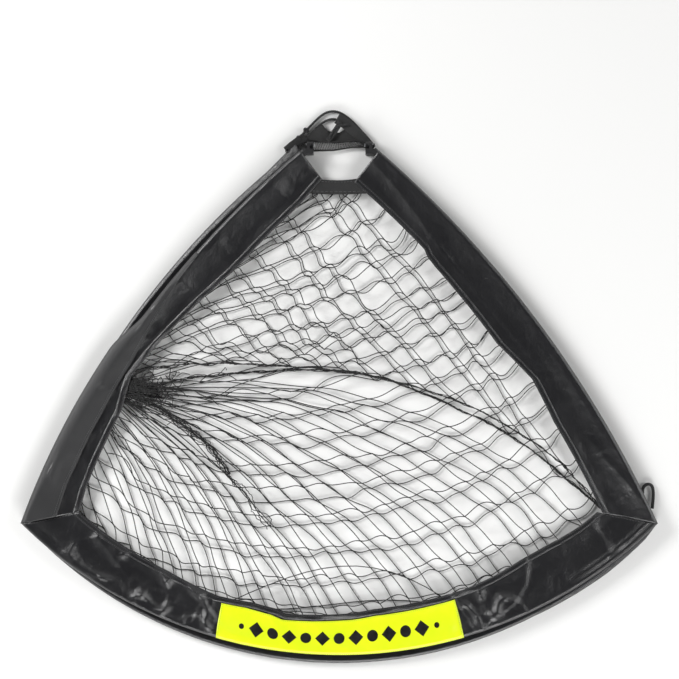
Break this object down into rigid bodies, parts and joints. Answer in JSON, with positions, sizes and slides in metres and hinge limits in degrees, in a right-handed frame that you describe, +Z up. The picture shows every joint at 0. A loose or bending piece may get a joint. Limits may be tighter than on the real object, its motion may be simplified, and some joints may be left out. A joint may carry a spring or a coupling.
{
  "type": "pop up goal",
  "caption": "Portable clam-folding ball goal: bowed rod frames in fabric sleeves hinged at the apex, with netting, stake loops and a bright crossbar patch, folded flat.",
  "frame": {"origin": "centre of the folded goal's footprint, on the ground", "axes": "+X to the right along the mouth, +Y from the bowed mouth to the apex, +Z up off the ground"},
  "size_m": [1.0742, 0.939, 0.0249],
  "materials": {
    "sleeve_fabric": "coated nylon, soft sheen",
    "net_twine": "knotted twine",
    "webbing": "woven webbing",
    "mesh_cloth": "open mesh",
    "elastic_cord": "braided",
    "label_fabric": "printed satin",
    "fibreglass": "smooth",
    "moulding": "satin",
    "pin_steel": "plated"
  },
  "bodies": {
    "base_frame": {"base_front_pole": "fibreglass", "base_left_pole": "fibreglass", "base_right_pole": "fibreglass", "base_left_elbow": "moulding", "base_right_elbow": "moulding", "base_left_hinge_end": "moulding", "base_right_hinge_end": "moulding", "left_hinge_pin": "pin_steel", "right_hinge_pin": "pin_steel", "base_front_sleeve": "sleeve_fabric", "base_left_sleeve": "sleeve_fabric", "base_right_sleeve": "sleeve_fabric", "base_net": "net_twine", "base_ribbon": "webbing", "left_side_net": "net_twine", "right_side_net": "net_twine", "left_stake_loop": "webbing", "right_stake_loop": "webbing", "apex_gusset": "mesh_cloth", "apex_strap": "webbing", "apex_cord_outer": "elastic_cord", "apex_cord_inner": "elastic_cord", "apex_cord_cross": "elastic_cord", "cord_knots": "elastic_cord"},
    "top_frame": {"crossbar_pole": "fibreglass", "top_left_pole": "fibreglass", "top_right_pole": "fibreglass", "top_left_elbow": "moulding", "top_right_elbow": "moulding", "top_left_hinge_end": "moulding", "top_right_hinge_end": "moulding", "crossbar_sleeve": "sleeve_fabric", "top_left_sleeve": "sleeve_fabric", "top_right_sleeve": "sleeve_fabric", "top_net": "net_twine", "top_ribbon": "webbing", "label_patch": "label_fabric"}
  },
  "joints": [
    {"name": "frame_fold", "type": "hinge", "parent": "base_frame", "child": "top_frame", "pos_m": [0, 0.412, 0.0125], "axis": [-1, 0, 0], "range_deg": [0, 60], "deforming": ["left_side_net", "right_side_net"]}
  ]
}
